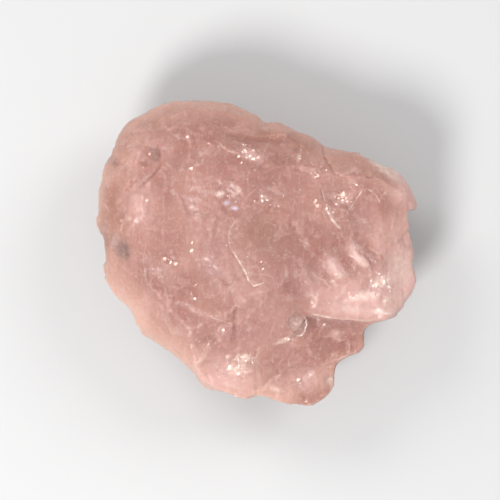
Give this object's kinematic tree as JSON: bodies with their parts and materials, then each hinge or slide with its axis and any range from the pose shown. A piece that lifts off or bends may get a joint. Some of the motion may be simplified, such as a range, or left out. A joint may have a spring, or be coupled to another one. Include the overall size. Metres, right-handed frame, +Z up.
{
  "type": "rough morganite gemstone",
  "caption": "Flattish rough piece of pink beryl with broken facets, shallow shell-shaped scars and a stepped corner, resting on a small flat spot of its underside.",
  "frame": {"origin": "middle of the outline as seen from above, at the height of the resting face", "axes": "+X along the long side of the outline, towards the notched lobe; +Y towards the rounded back; +Z up, away from the resting face, through the thinnest direction"},
  "size_m": [0.032, 0.0306, 0.0136],
  "materials": {
    "morganite": "salmon-pink translucent beryl, glassy where freshly broken and softly worn elsewhere"
  },
  "bodies": {
    "root": {"stone": "morganite"}
  },
  "joints": []
}
